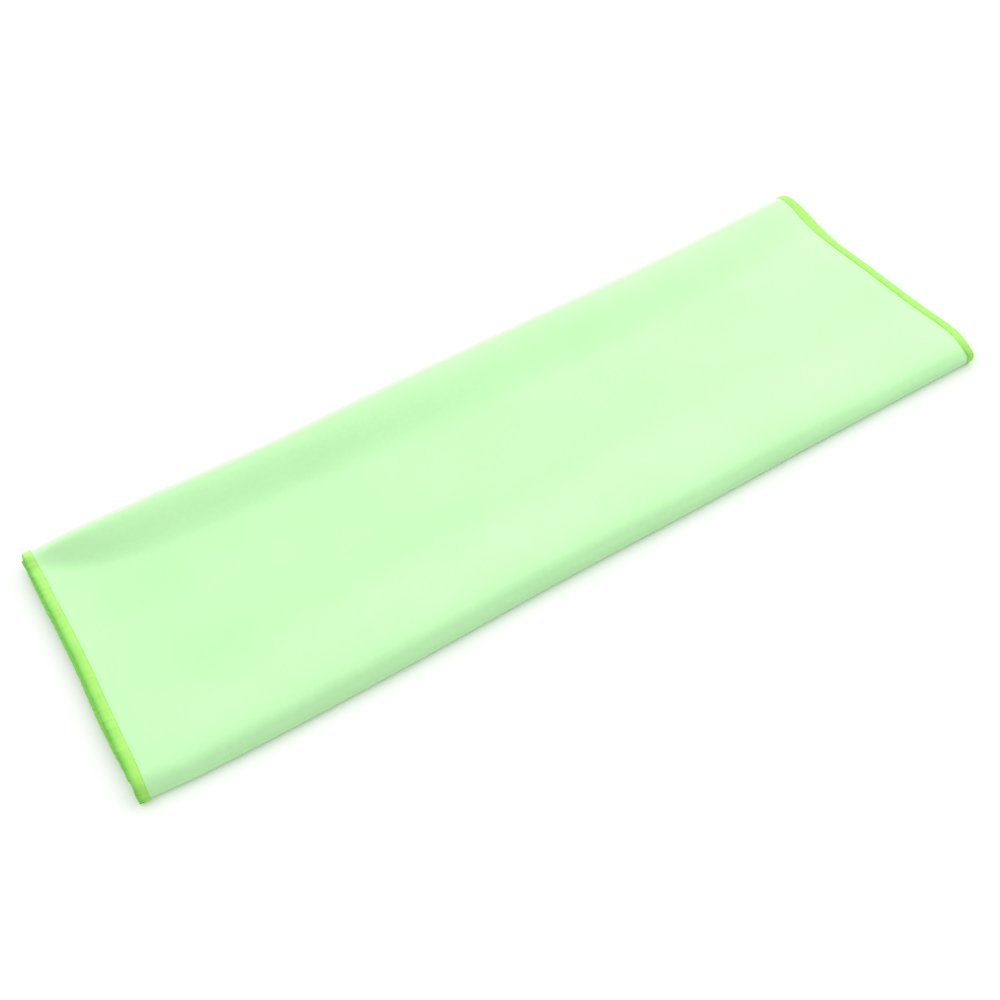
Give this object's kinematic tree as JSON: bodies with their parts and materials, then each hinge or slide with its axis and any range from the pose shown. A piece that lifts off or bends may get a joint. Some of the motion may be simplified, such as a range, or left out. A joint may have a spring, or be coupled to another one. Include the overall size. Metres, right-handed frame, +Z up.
{
  "type": "folded microfibre beach towel",
  "caption": "Thin microfibre beach towel with a bright overlocked thread edging all round, folded lengthwise into a long flat strip with rounded sides.",
  "frame": {"origin": "centre of the folded strip's bounding box, on the surface that the towel lies on", "axes": "+X along the strip from the left hem to the right one, +Y across it from the near fold to the far one, +Z up"},
  "size_m": [0.7062, 0.2456, 0.0183],
  "materials": {
    "towel_cloth": "matte",
    "overlock_thread": "satin"
  },
  "bodies": {
    "root": {"towel_cloth": "towel_cloth", "overlock_left_end": "overlock_thread", "overlock_right_end": "overlock_thread", "overlock_lower_side": "overlock_thread", "overlock_upper_side": "overlock_thread"}
  },
  "joints": []
}
